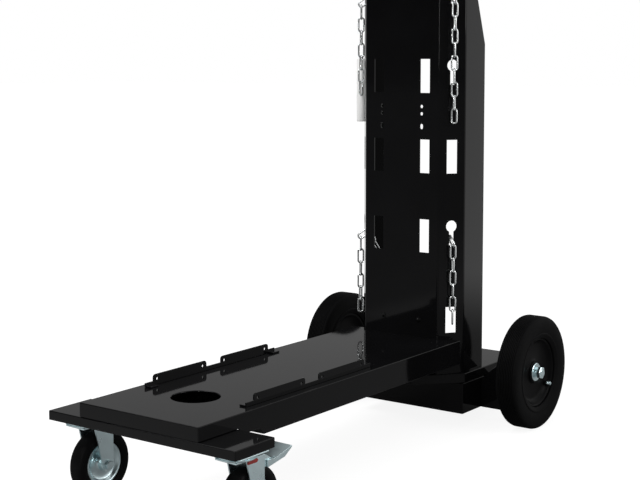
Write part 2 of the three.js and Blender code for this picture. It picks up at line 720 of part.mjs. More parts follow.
function axleNut(side, sign) {
  const bore = AXLE_DIAMETER / 2 + SEAT_GAP;
  const acrossCorners = NUT_WIDTH / Math.sqrt(3);
  const hexagon = new THREE.Shape();
  for (let i = 0; i < 6; i += 1) {
    const angle = i * Math.PI / 3;
    const point = [acrossCorners * Math.cos(angle), acrossCorners * Math.sin(angle)];
    if (i === 0) {
      hexagon.moveTo(...point);
    } else {
      hexagon.lineTo(...point);
    }
  }
  const nutEnd = nutStart + NUT_HEIGHT;
  const head = prismX(hexagon, nutEnd - NUT_HEAD_HEIGHT, nutEnd);
  const neck = prismX(circle(0, 0, NUT_NECK_DIAMETER / 2), nutStart, nutEnd - NUT_HEAD_HEIGHT / 2);
  const flange = prismX(circle(0, 0, NUT_FLANGE_DIAMETER / 2), nutStart, nutStart + NUT_FLANGE_HEIGHT,
    HOLE_FACETS);
  const axleBore = prismX(circle(0, 0, bore), nutStart - NUT_HEIGHT, nutEnd + NUT_HEIGHT);
  const body = cut(join(head, neck, flange), axleBore);
  const mesh = addPart(`axle_nut_${side}`, geometryOf(sign > 0 ? body : body.mirror([1, 0, 0])), zinc);
  mesh.position.set(0, AXLE_Y, wheelRadius);
}

// Wheel centre: a boss on the axle, a disc and a rim with a raised middle that keeps the tyre on
function rimRadius() {
  return wheelRadius - TYRE_HEIGHT;
}

function rearHub(side, sign) {
  const bore = AXLE_DIAMETER / 2 + SEAT_GAP;
  const boss = HUB_DIAMETER / 2;
  const rimOuter = rimRadius();
  const rimInner = rimOuter - HUB_RIM_WALL;
  const rimStart = wheelInner + TYRE_SHOULDER;
  const rimEnd = wheelInner + TYRE_WIDTH - TYRE_SHOULDER;
  const discStart = (rimStart + rimEnd) / 2 - HUB_DISC / 2;
  const discEnd = discStart + HUB_DISC;
  const profile = [
    [bore, hubStart],
    [boss, hubStart],
    [boss, discStart],
    [rimInner, discStart],
    [rimInner, rimStart],
    [rimOuter, rimStart],
    [rimOuter, rimEnd],
    [rimInner, rimEnd],
    [rimInner, discEnd],
    [boss, discEnd],
    [boss, hubEnd],
    [bore, hubEnd],
    [bore, hubStart],
  ];
  const mesh = addPart(`rear_hub_${side}`, geometryOf(wheelSolid(profile, sign)), blackPlastic);
  mesh.position.set(0, AXLE_Y, wheelRadius);
}

// Tyre: rounded shoulders, plain walls and a tread with grooves that run round it
function tyreProfile(inner, outer, start, width, shoulder, grooves, grooveDepth) {
  const end = start + width;
  const profile = [
    [inner, start + shoulder / 2],
    [outer - 2 * shoulder, start],
    [outer - shoulder / 3, start + shoulder / 3],
    [outer, start + shoulder],
  ];
  const land = (width - 2 * shoulder) / (2 * grooves + 1);
  for (let i = 0; i < grooves; i += 1) {
    const grooveStart = start + shoulder + land * (2 * i + 1);
    profile.push([outer, grooveStart]);
    profile.push([outer - grooveDepth, grooveStart + land / 3]);
    profile.push([outer - grooveDepth, grooveStart + land * 2 / 3]);
    profile.push([outer, grooveStart + land]);
  }
  profile.push([outer, end - shoulder]);
  profile.push([outer - shoulder / 3, end - shoulder / 3]);
  profile.push([outer - 2 * shoulder, end]);
  profile.push([inner, end - shoulder / 2]);
  profile.push([inner, start + shoulder / 2]);
  return profile;
}

function rearTyre(side, sign) {
  const profile = tyreProfile(rimRadius() + SEAT_GAP, wheelRadius, wheelInner, TYRE_WIDTH, TYRE_SHOULDER,
    TREAD_GROOVES, TREAD_GROOVE_DEPTH);
  const mesh = addPart(`rear_tyre_${side}`, geometryOf(wheelSolid(profile, sign)), rubber);
  mesh.position.set(0, AXLE_Y, wheelRadius);
}

// Caster heights, from the crossbar down
const plateTop = CASTER_HEIGHT - SEAT_GAP;
const plateBottom = plateTop - FORK_SHEET;
const raceBottom = plateBottom - SEAT_GAP - CASTER_RACE_HEIGHT;
const crownTop = raceBottom - SEAT_GAP;
const crownBottom = crownTop - FORK_SHEET;
const forkInner = CASTER_TYRE_WIDTH / 2 + FORK_SIDE_GAP;
const forkOuter = forkInner + FORK_SHEET;
const brakePivotZ = crownBottom - BRAKE_PIVOT_DROP;

function casterGroup(sign, turn) {
  const group = new THREE.Group();
  group.position.set(sign * CASTER_SPACING / 2, CASTER_Y, 0);
  group.rotation.z = THREE.MathUtils.degToRad(turn);
  cart.add(group);
  return group;
}

function casterPlate(side, group) {
  const halfX = CASTER_PLATE_LENGTH / 2;
  const halfY = CASTER_PLATE_WIDTH / 2;
  const body = box(-halfX, halfX, -halfY, halfY, plateBottom, plateTop);
  addPart(`caster_plate_${side}`, geometryOf(body), zinc, group);
}

// Race and king pin: the pin's head holds the fork up against the race
function casterRace(side, group) {
  const race = CASTER_RACE_DIAMETER / 2;
  const pin = KINGPIN_DIAMETER / 2;
  const head = KINGPIN_HEAD / 2;
  const headTop = crownBottom - SEAT_GAP;
  const profile = [
    [0, headTop - KINGPIN_HEAD_HEIGHT],
    [head, headTop - KINGPIN_HEAD_HEIGHT],
    [head, headTop],
    [pin, headTop],
    [pin, raceBottom],
    [race, raceBottom],
    [race, plateBottom - SEAT_GAP],
    [0, plateBottom - SEAT_GAP],
  ];
  addPart(`caster_race_${side}`, geometryOf(turnedSolid(turnedZ(profile, CASTER_FACETS))), zinc, group);
}

// Fork leg: narrow at the crown's rear, down to a round eye at the axle, with a brake lug if it has a brake
const legRear = CASTER_TRAIL + FORK_EYE_RADIUS;
const legFront = legRear - FORK_LEG_WIDTH;

function forkLegOutline() {
  const shape = new THREE.Shape();
  shape.moveTo(legFront, crownTop);
  shape.lineTo(CASTER_TRAIL - FORK_EYE_RADIUS, casterAxleZ);
  shape.absarc(CASTER_TRAIL, casterAxleZ, FORK_EYE_RADIUS, Math.PI, 2 * Math.PI, false);
  shape.lineTo(legRear, crownTop);
  return shape;
}

function casterFork(side, group, braked) {
  const axleHole = CASTER_AXLE_DIAMETER / 2 + SEAT_GAP;
  const crown = box(-forkOuter, forkOuter, -FORK_CROWN_FRONT, legRear, crownBottom, crownTop);
  const pinHole = prismZ(circle(0, 0, KINGPIN_DIAMETER / 2 + SEAT_GAP), crownBottom - FORK_SHEET,
    crownTop + FORK_SHEET);
  const lug = outline([
    [CASTER_TRAIL, crownTop],
    [CASTER_TRAIL, brakePivotZ - BRAKE_LUG_RADIUS],
    [BRAKE_PIVOT_Y, brakePivotZ - BRAKE_LUG_RADIUS],
    [BRAKE_PIVOT_Y + BRAKE_LUG_RADIUS, brakePivotZ],
    [BRAKE_PIVOT_Y, brakePivotZ + BRAKE_LUG_RADIUS],
    [legRear, crownTop],
  ]);
  const legs = [[-forkOuter, -forkInner], [forkInner, forkOuter]].map(([x0, x1]) => {
    const leg = prismX(forkLegOutline(), x0, x1);
    return braked ? join(leg, prismX(lug, x0, x1)) : leg;
  });
  const past = forkOuter + FORK_SHEET;
  const axleCut = prismX(circle(CASTER_TRAIL, casterAxleZ, axleHole), -past, past);
  const cutters = [pinHole, axleCut];
  if (braked) {
    cutters.push(prismX(circle(BRAKE_PIVOT_Y, brakePivotZ, BRAKE_PIN_DIAMETER / 2 + SEAT_GAP), -past, past));
  }
  addPart(`caster_fork_${side}`, geometryOf(cut(join(crown, ...legs), ...cutters)), zinc, group);
}

function casterTyre(side, group) {
  const outer = CASTER_WHEEL_DIAMETER / 2;
  const profile = tyreProfile(outer - CASTER_TYRE_HEIGHT + SEAT_GAP, outer, -CASTER_TYRE_WIDTH / 2,
    CASTER_TYRE_WIDTH, CASTER_TYRE_SHOULDER, 0, 0);
  const body = turnedSolid(turnedX(profile, CASTER_FACETS));
  const mesh = addPart(`caster_tyre_${side}`, geometryOf(body), rubber, group);
  mesh.position.set(0, CASTER_TRAIL, casterAxleZ);
}

// Caster wheel centre: a pressed disc with a stepped face, a rim and a boss for the axle
function casterHub(side, group) {
  const rim = CASTER_WHEEL_DIAMETER / 2 - CASTER_TYRE_HEIGHT;
  const bore = CASTER_AXLE_DIAMETER / 2 + SEAT_GAP;
  const boss = CASTER_HUB_DIAMETER / 2;
  const rimHalf = CASTER_TYRE_WIDTH / 2 - CASTER_TYRE_SHOULDER / 2;
  const bossHalf = forkInner - RUN_GAP;
  const disc = CASTER_HUB_DISC / 2;
  const profile = [
    [bore, -bossHalf],
    [boss, -bossHalf],
    [boss, -disc],
    [rim - CASTER_HUB_DISC, -disc],
    [rim - CASTER_HUB_DISC, -rimHalf],
    [rim, -rimHalf],
    [rim, rimHalf],
    [rim - CASTER_HUB_DISC, rimHalf],
    [rim - CASTER_HUB_DISC, disc],
    [boss, disc],
    [boss, bossHalf],
    [bore, bossHalf],
    [bore, -bossHalf],
  ];
  const body = turnedSolid(turnedX(profile, CASTER_FACETS));
  const mesh = addPart(`caster_hub_${side}`, geometryOf(body), zinc, group);
  mesh.position.set(0, CASTER_TRAIL, casterAxleZ);
}

function casterAxle(side, group) {
  const radius = CASTER_AXLE_DIAMETER / 2;
  const head = CASTER_AXLE_HEAD / 2;
  const seat = forkOuter + SEAT_GAP;
  const end = seat + CASTER_AXLE_HEAD_LENGTH;
  const profile = [
    [0, -end],
    [head, -end],
    [head, -seat],
    [radius, -seat],
    [radius, seat],
    [head, seat],
    [head, end],
    [0, end],
  ];
  const body = turnedSolid(turnedX(profile, HOLE_FACETS));
  const mesh = addPart(`caster_axle_${side}`, geometryOf(body), zinc, group);
  mesh.position.set(0, CASTER_TRAIL, casterAxleZ);
}

// Brake pedal: a bent plate with side cheeks on a cross pin, and a shoe that swings down towards the tyre
function brakePedal(group) {
  const pin = BRAKE_PIN_DIAMETER / 2;
  const cheekInner = forkOuter + RUN_GAP;
  const half = cheekInner + BRAKE_PLATE;
  const web = forkInner - RUN_GAP;
  const side = outline([
    [-pin, -pin],
    [pin, -BRAKE_SHOE_DROP],
    [pin + BRAKE_SHOE_LENGTH, -BRAKE_SHOE_DROP],
    [pin + BRAKE_SHOE_LENGTH, pin - BRAKE_PLATE],
    [BRAKE_LUG_RADIUS * 2, pin - BRAKE_PLATE],
    [BRAKE_LENGTH, pin + BRAKE_RISE - BRAKE_PLATE],
    [BRAKE_LENGTH, pin + BRAKE_RISE],
    [BRAKE_LUG_RADIUS * 2, pin],
    [-pin, pin],
  ]);
  const tread = outline([
    [BRAKE_LUG_RADIUS * 2, pin - BRAKE_PLATE],
    [BRAKE_LENGTH, pin + BRAKE_RISE - BRAKE_PLATE],
    [BRAKE_LENGTH, pin + BRAKE_RISE],
    [BRAKE_LUG_RADIUS * 2, pin],
  ]);
  const cheek = outline([
    [-BRAKE_LUG_RADIUS, -BRAKE_CHEEK_DROP],
    [BRAKE_CHEEK_REACH, 0],
    [BRAKE_LENGTH, pin + BRAKE_RISE - BRAKE_PLATE],
    [BRAKE_LENGTH, pin + BRAKE_RISE],
    [BRAKE_LUG_RADIUS * 2, pin],
    [-BRAKE_LUG_RADIUS, pin],
  ]);
  const cross = prismX(circle(0, 0, pin), -half, half);
  const cheeks = [prismX(cheek, -half, -cheekInner), prismX(cheek, cheekInner, half)];
  const body = join(prismX(side, -web, web), prismX(tread, -half, half), cross, ...cheeks);
  const mesh = addPart('brake_pedal', geometryOf(body), zinc, group);
  mesh.position.set(0, BRAKE_PIVOT_Y, brakePivotZ);
}

// Red cap on the outside of the braked fork, under the race
function brakeCap(group) {
  const inner = forkOuter + SEAT_GAP;
  const top = crownTop - SEAT_GAP;
  const low = top - BRAKE_CAP_HEIGHT;
  const front = legFront;
  const rear = front + BRAKE_CAP_LENGTH;
  const corner = BRAKE_CAP_HEIGHT / 2;
  const side = outline([
    [front, low],
    [rear - corner, low],
    [rear, low + corner],
    [rear - corner, top],
    [front + corner, top],
    [front, top - corner],
  ]);
  addPart('brake_cap', geometryOf(prismX(side, inner, inner + BRAKE_CAP_THICKNESS)), redPlastic, group);
}

// Chain link: an oblong ring with its long axis on X and its width on Y
const linkBend = (CHAIN_INNER_WIDTH + CHAIN_WIRE) / 2;
const linkStraight = (CHAIN_PITCH + CHAIN_WIRE) / 2 - linkBend;
const linkStep = CHAIN_PITCH + CHAIN_SEAT;

function linkGeometry() {
  const rings = [];
  [1, -1].forEach((end) => {
    for (let k = 0; k <= CHAIN_BEND_STEPS; k += 1) {
      const angle = -Math.PI / 2 + Math.PI * k / CHAIN_BEND_STEPS + (end > 0 ? 0 : Math.PI);
      const ray = new THREE.Vector3(Math.cos(angle), Math.sin(angle), 0);
      const middle = new THREE.Vector3(end * linkStraight, 0, 0);
      rings.push({ ray, centre: middle.addScaledVector(ray, linkBend) });
    }
  });
  const positions = [];
  rings.forEach(({ ray, centre }) => {
    for (let s = 0; s < CHAIN_SIDES; s += 1) {
      const around = Math.PI + 2 * Math.PI * s / CHAIN_SIDES;
      const point = centre.clone().addScaledVector(ray, CHAIN_WIRE / 2 * Math.cos(around));
      positions.push(point.x, point.y, CHAIN_WIRE / 2 * Math.sin(around));
    }
  });
  const faces = [];
  rings.forEach((_, i) => {
    const next = (i + 1) % rings.length;
    for (let s = 0; s < CHAIN_SIDES; s += 1) {
      const side = (s + 1) % CHAIN_SIDES;
      const near = [i * CHAIN_SIDES + s, i * CHAIN_SIDES + side];
      const far = [next * CHAIN_SIDES + s, next * CHAIN_SIDES + side];
      faces.push(near[0], far[0], far[1]);
      faces.push(near[0], far[1], near[1]);
    }
  });
  const geometry = new THREE.BufferGeometry();
  geometry.setAttribute('position', new THREE.Float32BufferAttribute(positions, 3));
  geometry.setIndex(faces);
  return geometry;
}

// A link between two joints, its width along the given side direction
function linkBetween(start, end, side) {
  const axis = new THREE.Vector3().subVectors(end, start).normalize();
  const width = side.clone().addScaledVector(axis, -side.dot(axis)).normalize();
  const depth = new THREE.Vector3().crossVectors(axis, width);
  const middle = new THREE.Vector3().addVectors(start, end).multiplyScalar(0.5);
  const place = new THREE.Matrix4().makeBasis(axis, width, depth).setPosition(middle);
  return turnedSolid(linkGeometry().applyMatrix4(place));
}

// Chain places on the right wing; the left side is their mirror image
const tilt = THREE.MathUtils.degToRad(CHAIN_TILT);
const saddleAxis = new THREE.Vector3(0, 0, -Math.sin(tilt)).addScaledVector(wingNormal, Math.cos(tilt));

function saddleCentre(row) {
  const lift = (linkBend + CHAIN_WIRE / 2) / Math.cos(tilt) - CHAIN_STANDOFF * Math.tan(tilt);
  return new THREE.Vector3(WEB_WIDTH / 2, TOWER_FRONT, keyholeSeat(row) + SEAT_GAP + lift)
    .addScaledVector(wingTangent, WING_MIDDLE)
    .addScaledVector(wingNormal, CHAIN_STANDOFF);
}

// Top of a tail: the wire of its first link lies in the saddle link's outer bend
function tailTop(row) {
  const drop = linkBend - CHAIN_WIRE - SEAT_GAP;
  return saddleCentre(row).addScaledVector(saddleAxis, linkStraight)
    .add(new THREE.Vector3(0, 0, -drop));
}

function chainTail(name, row, sign, links) {
  const down = new THREE.Vector3(0, 0, -linkStep);
  const first = tailTop(row).add(new THREE.Vector3(0, 0, -(CHAIN_WIRE - CHAIN_SEAT) / 2));
  let body = null;
  for (let i = 0; i < links; i += 1) {
    const start = first.clone().addScaledVector(down, i);
    const turn = THREE.MathUtils.degToRad(i * (90 + CHAIN_TWIST));
    const side = wingTangent.clone().applyAxisAngle(new THREE.Vector3(0, 0, 1), turn);
    const link = linkBetween(start, start.clone().add(down), side);
    body = body ? body.add(link) : link;
  }
  addPart(name, geometryOf(sign > 0 ? body : body.mirror([1, 0, 0])), zinc);
}

// Joints of a chain hung between two points at one height: equal steps on the arc that spans them
function hangingJoints(span) {
  const links = Math.floor(span / linkStep) + STRAND_SPARE_LINKS;
  let low = 0;
  let high = 2 * Math.PI / links;
  while (high - low > 1e-9) {
    const guess = (low + high) / 2;
    const reach = linkStep * Math.sin(links * guess / 2) / Math.sin(guess / 2);
    if (reach > span) {
      low = guess;
    } else {
      high = guess;
    }
  }
  const radius = linkStep / (2 * Math.sin(low / 2));
  const rise = radius * Math.cos(links * low / 2);
  return Array.from({ length: links + 1 }, (_, i) => {
    const angle = (links / 2 - i) * low;
    return new THREE.Vector3(radius * Math.sin(angle), 0, rise - radius * Math.cos(angle));
  });
}

// Strand: both saddle links in their keyhole slots and the sagging chain between them, behind the web
function chainStrand(name, row) {
  const centre = saddleCentre(row);
  const half = saddleAxis.clone().multiplyScalar(linkStep / 2);
  const right = { inside: centre.clone().sub(half), outside: centre.clone().add(half) };
  const mirrored = (point) => new THREE.Vector3(-point.x, point.y, point.z);
  const upright = new THREE.Vector3(0, 0, 1);
  let body = linkBetween(right.inside, right.outside, upright);
  body = body.add(linkBetween(mirrored(right.inside), mirrored(right.outside), upright));
  const joints = hangingJoints(2 * right.inside.x).map((joint) => joint.add(
    new THREE.Vector3(0, right.inside.y, right.inside.z)));
  for (let i = 0; i < joints.length - 1; i += 1) {
    const side = i % 2 === 0 ? new THREE.Vector3(0, 1, 0) : upright;
    body = body.add(linkBetween(joints[i], joints[i + 1], side));
  }
  addPart(name, geometryOf(body), zinc);
}

// Assembly
crossbar();
tray();
trayStiffener();
tower();
pushHandle();
rodTube();
shelf();
shelfBase();
[['left', -1], ['right', 1]].forEach(([side, sign]) => {
  guideRail(side, sign);
  axleBracket(side, sign);
  stubAxle(side, sign);
  rearHub(side, sign);
  rearTyre(side, sign);
  axleNut(side, sign);
  const braked = sign > 0;
  const group = casterGroup(sign, CASTER_TURN);
  casterPlate(side, casterGroup(sign, 0));
  casterRace(side, group);
  casterFork(side, group, braked);
  casterHub(side, group);
  casterTyre(side, group);
  casterAxle(side, group);
  if (braked) {
    brakePedal(group);
    brakeCap(group);
  }
});
const lowerRow = keyholeRows[0];
const upperRow = keyholeRows[2];
chainStrand('chain_strand_upper', upperRow);
chainStrand('chain_strand_lower', lowerRow);
chainTail('chain_tail_upper_right', upperRow, 1, TAIL_LINKS.upper_right);
chainTail('chain_tail_upper_left', upperRow, -1, TAIL_LINKS.upper_left);
chainTail('chain_tail_lower_right', lowerRow, 1, TAIL_LINKS.lower_right);
chainTail('chain_tail_lower_left', lowerRow, -1, TAIL_LINKS.lower_left);

export default cart;
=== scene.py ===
import json
import math

import bmesh
import bpy
from mathutils import Matrix, Vector


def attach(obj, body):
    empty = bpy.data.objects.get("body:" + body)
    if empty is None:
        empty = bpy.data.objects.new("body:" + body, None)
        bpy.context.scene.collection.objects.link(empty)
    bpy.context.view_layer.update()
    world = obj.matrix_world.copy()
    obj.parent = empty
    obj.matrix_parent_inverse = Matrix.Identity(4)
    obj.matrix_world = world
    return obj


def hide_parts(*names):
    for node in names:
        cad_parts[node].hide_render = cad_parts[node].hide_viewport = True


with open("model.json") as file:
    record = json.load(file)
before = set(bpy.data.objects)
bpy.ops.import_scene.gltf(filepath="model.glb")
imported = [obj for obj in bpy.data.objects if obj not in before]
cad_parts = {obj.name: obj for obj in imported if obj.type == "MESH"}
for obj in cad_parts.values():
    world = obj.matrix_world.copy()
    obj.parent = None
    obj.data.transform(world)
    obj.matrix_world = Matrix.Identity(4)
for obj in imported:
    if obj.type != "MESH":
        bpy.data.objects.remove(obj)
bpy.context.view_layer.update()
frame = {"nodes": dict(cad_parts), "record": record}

SCENE = bpy.context.scene
NODES = frame["nodes"]
BODY_OF = {}
for body_name, members in frame["record"]["behaviour"]["bodies"].items():
    for member in members:
        BODY_OF[member] = body_name
SLOT_OF = {}
for entry in frame["record"]["subparts"]:
    SLOT_OF[entry["node"]] = entry["material_slot"]

# The drawing is in millimetres, with Y from the front of the cart; the frame is in metres about its middle
MM = 0.001
MIDDLE_Y = 575.0
SIDES = (("left", -1), ("right", 1))
UP = Vector((0, 0, 1))


def at(x, y, z):
    """A point in the cart's drawing as a point of the frame."""
    return Vector((x * MM, (y - MIDDLE_Y) * MM, z * MM))


def metres(profile):
    return [(radius * MM, place * MM) for radius, place in profile]


# Camera: fitted to the photograph's 640 by 480 frame
CAMERA_PLACE = (1.6032, -2.2286, 0.8093)
CAMERA_YAW = 36.142
CAMERA_PITCH = 4.828
CAMERA_SENSOR = 36
CAMERA_LENS = 75.105
CAMERA_SHIFT = -0.1

camera = bpy.data.objects.new("camera", bpy.data.cameras.new("camera"))
SCENE.collection.objects.link(camera)
camera.location = CAMERA_PLACE
camera.rotation_euler = (math.radians(90 - CAMERA_PITCH), 0, math.radians(CAMERA_YAW))
camera.data.sensor_width = CAMERA_SENSOR
camera.data.lens = CAMERA_LENS
camera.data.shift_y = CAMERA_SHIFT
SCENE.camera = camera
SCENE.view_settings.view_transform = "Standard"


# Node helpers
def add(tree, kind, **inputs):
    """A new node whose inputs or settings are given by name."""
    node = tree.nodes.new(kind)
    for key, value in inputs.items():
        name = key.replace("_", " ")
        if name in node.inputs:
            node.inputs[name].default_value = value
        else:
            setattr(node, key, value)
    return node


def math_node(tree, operation, *values):
    node = tree.nodes.new("ShaderNodeMath")
    node.operation = operation
    for index, value in enumerate(values):
        if isinstance(value, (int, float)):
            node.inputs[index].default_value = value
        else:
            tree.links.new(value, node.inputs[index])
    return node.outputs[0]


def fade(tree, value, start, end, least):
    """A value's smooth rise from the least to 1 between two places."""
    node = add(tree, "ShaderNodeMapRange", interpolation_type="SMOOTHSTEP",
               From_Min=start, From_Max=end, To_Min=least, To_Max=1.0)
    tree.links.new(value, node.inputs["Value"])
    return node.outputs[0]


def grey(level):
    return (level, level, level, 1)


# World: white to the camera. In reflections it is white behind the cart, and dimmer in front and to the left
AMBIENT = 0.62
FRONT_GLOSS = 0.08
FRONT_END = 0.42
BACK_START = 0.52
LEFT_GLOSS = 0.32
LEFT_END = -0.25
RIGHT_START = 0.3


def studio_world():
    world = bpy.data.worlds.new("studio")
    SCENE.world = world
    world.use_nodes = True
    tree = world.node_tree
    tree.nodes.clear()
    link = tree.links.new
    out = add(tree, "ShaderNodeOutputWorld")
    seen = add(tree, "ShaderNodeBackground", Color=grey(1), Strength=1.0)
    soft = add(tree, "ShaderNodeBackground", Color=grey(1), Strength=AMBIENT)
    gloss = add(tree, "ShaderNodeBackground")
    place = add(tree, "ShaderNodeTexCoord")
    split = add(tree, "ShaderNodeSeparateXYZ")
    link(place.outputs["Generated"], split.inputs[0])
    ramp = add(tree, "ShaderNodeValToRGB")
    front, back = ramp.color_ramp.elements
    front.position, back.position = FRONT_END, BACK_START
    front.color, back.color = grey(FRONT_GLOSS), grey(1)
    # The direction's Y, from -1 to 1, as a place on the ramp
    link(math_node(tree, "MULTIPLY_ADD", split.outputs["Y"], 0.5, 0.5), ramp.inputs[0])
    link(ramp.outputs[0], gloss.inputs["Color"])
    link(fade(tree, split.outputs["X"], LEFT_END, RIGHT_START, LEFT_GLOSS), gloss.inputs["Strength"])
    path = add(tree, "ShaderNodeLightPath")
    direct = math_node(tree, "MAXIMUM", path.outputs["Is Camera Ray"], path.outputs["Is Transmission Ray"])
    glossy_mix = add(tree, "ShaderNodeMixShader")
    link(path.outputs["Is Glossy Ray"], glossy_mix.inputs[0])
    link(soft.outputs[0], glossy_mix.inputs[1])
    link(gloss.outputs[0], glossy_mix.inputs[2])
    final_mix = add(tree, "ShaderNodeMixShader")
    link(direct, final_mix.inputs[0])
    link(glossy_mix.outputs[0], final_mix.inputs[1])
    link(seen.outputs[0], final_mix.inputs[2])
    link(final_mix.outputs[0], out.inputs[0])


# Floor: white to the camera. In reflections it carries painted shade, its white fading near the cart and in
# front, and a paler patch of painted light in front
FLOOR_SIZE = 80.0
FLOOR_GREY = 0.2
FLOOR_GLOW = 0.89
PAINTED_SHADE_LEAST = 0.08
MIRROR_NEAR = 1.25
MIRROR_FAR = 2.7
MIRROR_FRONT = -0.6
MIRROR_BACK = 0.8
# Painted light: a paler patch of floor in front of the cart, seen only in reflections
PAINTED_LIGHT_PATCH = {"X": (-0.9, -0.72, 0.1, 0.3), "Y": (-1.45, -1.2, -0.8, -0.62)}
PAINTED_LIGHT_PATCH_GLOSS = 0.42


def painted_reflection_light_and_shade(tree):
    """How white the floor is in reflections, from the place on the floor: painted shade near the cart and in
    front, with a patch of painted light in front.
    """
    place = add(tree, "ShaderNodeTexCoord").outputs["Object"]
    reach = add(tree, "ShaderNodeVectorMath", operation="LENGTH")
    tree.links.new(place, reach.inputs[0])
    split = add(tree, "ShaderNodeSeparateXYZ")
    tree.links.new(place, split.inputs[0])
    # Painted shade: the floor is darker in reflections near the cart and in front
    away = fade(tree, reach.outputs["Value"], MIRROR_NEAR, MIRROR_FAR, PAINTED_SHADE_LEAST)
    behind = fade(tree, split.outputs["Y"], MIRROR_FRONT, MIRROR_BACK, FRONT_GLOSS)
    # Painted light: the paler patch in front, seen only in reflections
    patch = PAINTED_LIGHT_PATCH_GLOSS
    for axis, (begin, full, still, end) in PAINTED_LIGHT_PATCH.items():
        for outer, inner in ((begin, full), (end, still)):
            patch = math_node(tree, "MULTIPLY", fade(tree, split.outputs[axis], outer, inner, 0.0), patch)
    return math_node(tree, "MAXIMUM", math_node(tree, "MINIMUM", away, behind), patch)


def floor_material():
    material = bpy.data.materials.new("floor_white")
    material.use_nodes = True
    tree = material.node_tree
    tree.nodes.clear()
    link = tree.links.new
    out = add(tree, "ShaderNodeOutputMaterial")
    paint = add(tree, "ShaderNodeBsdfDiffuse", Color=grey(FLOOR_GREY))
    glow = add(tree, "ShaderNodeEmission", Color=grey(1))
    path = add(tree, "ShaderNodeLightPath")
    direct = math_node(tree, "MAXIMUM", path.outputs["Is Camera Ray"], path.outputs["Is Transmission Ray"])
    mirrored = math_node(tree, "MULTIPLY", path.outputs["Is Glossy Ray"], painted_reflection_light_and_shade(tree))
    seen = math_node(tree, "MAXIMUM", direct, mirrored)
    link(math_node(tree, "MULTIPLY", seen, FLOOR_GLOW), glow.inputs["Strength"])
    total = add(tree, "ShaderNodeAddShader")
    link(paint.outputs[0], total.inputs[0])
    link(glow.outputs[0], total.inputs[1])
    link(total.outputs[0], out.inputs[0])
    return material


def studio_floor():
    half = FLOOR_SIZE / 2
    corners = [(-half, -half, 0), (half, -half, 0), (half, half, 0), (-half, half, 0)]
    mesh = bpy.data.meshes.new("floor")
    mesh.from_pydata(corners, [], [(0, 1, 2, 3)])
    mesh.materials.append(floor_material())
    floor = bpy.data.objects.new("floor", mesh)
    SCENE.collection.objects.link(floor)


# Lamps: a soft key from the upper left, a side light on the flange and a narrow strip for the tower's bends
LAMPS = {
    "key": {"place": (-1.2, -1.6, 3.2), "target": (0, 0, 0.3), "size": (2.2, 2.2), "power": 70},
    "side": {"place": (3.2, 0.6, 1.8), "target": (0, 0.2, 0.5), "size": (1.4, 1.8), "power": 35},
    "strip": {"place": (0.99, -2.55, 1.5), "target": (0.1, 0.27, 0.9), "size": (0.12, 1.4), "power": 12},
}


def area_light(name, place, target, size, power):
    light = bpy.data.lights.new(name, "AREA")
    light.shape = "RECTANGLE"
    light.size, light.size_y = size
    light.energy = power
    lamp = bpy.data.objects.new(name, light)
    SCENE.collection.objects.link(lamp)
    lamp.location = place
    lamp.rotation_euler = (Vector(target) - Vector(place)).to_track_quat("-Z", "Y").to_euler()


studio_world()
studio_floor()
for lamp_name, lamp_setting in LAMPS.items():
    area_light(lamp_name, **lamp_setting)


# Materials: the noise that makes the patches, the parts of its range that are used, and the fine grain
PATCH_DETAIL = 5.0
PATCH_ROUGHNESS = 0.6
TINT_RANGE = (0.3, 0.72)
ROUGH_RANGE = (0.3, 0.7)
GRAIN_DETAIL = 3.0
BUMP_STRENGTH = 0.25


def surface(name, colour, roughness, bump_scale, bump_height, patch_scale, tint,
            metallic=0.0, rough_spread=0.05, specular=0.5):
    """Principled material with patchy colour and roughness and a fine bump, all in object space."""
    material = bpy.data.materials.new(name)
    material.use_nodes = True
    tree = material.node_tree
    link = tree.links.new
    shader = tree.nodes["Principled BSDF"]
    shader.inputs["Metallic"].default_value = metallic
    shader.inputs["Specular IOR Level"].default_value = specular
    place = add(tree, "ShaderNodeTexCoord").outputs["Object"]
    patches = add(tree, "ShaderNodeTexNoise", Scale=patch_scale, Detail=PATCH_DETAIL, Roughness=PATCH_ROUGHNESS)
    link(place, patches.inputs["Vector"])
    hue = add(tree, "ShaderNodeValToRGB")
    low, high = hue.color_ramp.elements
    low.position, high.position = TINT_RANGE
    low.color = (*[c * (1 - tint) for c in colour], 1)
    high.color = (*[c * (1 + tint) for c in colour], 1)
    link(patches.outputs["Fac"], hue.inputs[0])
    link(hue.outputs[0], shader.inputs["Base Color"])
    rough = add(tree, "ShaderNodeMapRange", From_Min=ROUGH_RANGE[0], From_Max=ROUGH_RANGE[1],
                To_Min=roughness - rough_spread, To_Max=roughness + rough_spread)
    link(patches.outputs["Fac"], rough.inputs[0])
    link(rough.outputs[0], shader.inputs["Roughness"])
    grain = add(tree, "ShaderNodeTexNoise", Scale=bump_scale, Detail=GRAIN_DETAIL)
    link(place, grain.inputs["Vector"])
    bump = add(tree, "ShaderNodeBump", Strength=BUMP_STRENGTH, Distance=bump_height)
    link(grain.outputs["Fac"], bump.inputs["Height"])
    link(bump.outputs[0], shader.inputs["Normal"])
    return material


PAINT = surface("black_gloss_paint", (0.0036, 0.0036, 0.0039), roughness=0.07, rough_spread=0.02,
                specular=0.155, bump_scale=420, bump_height=0.00003, patch_scale=6, tint=0.2)
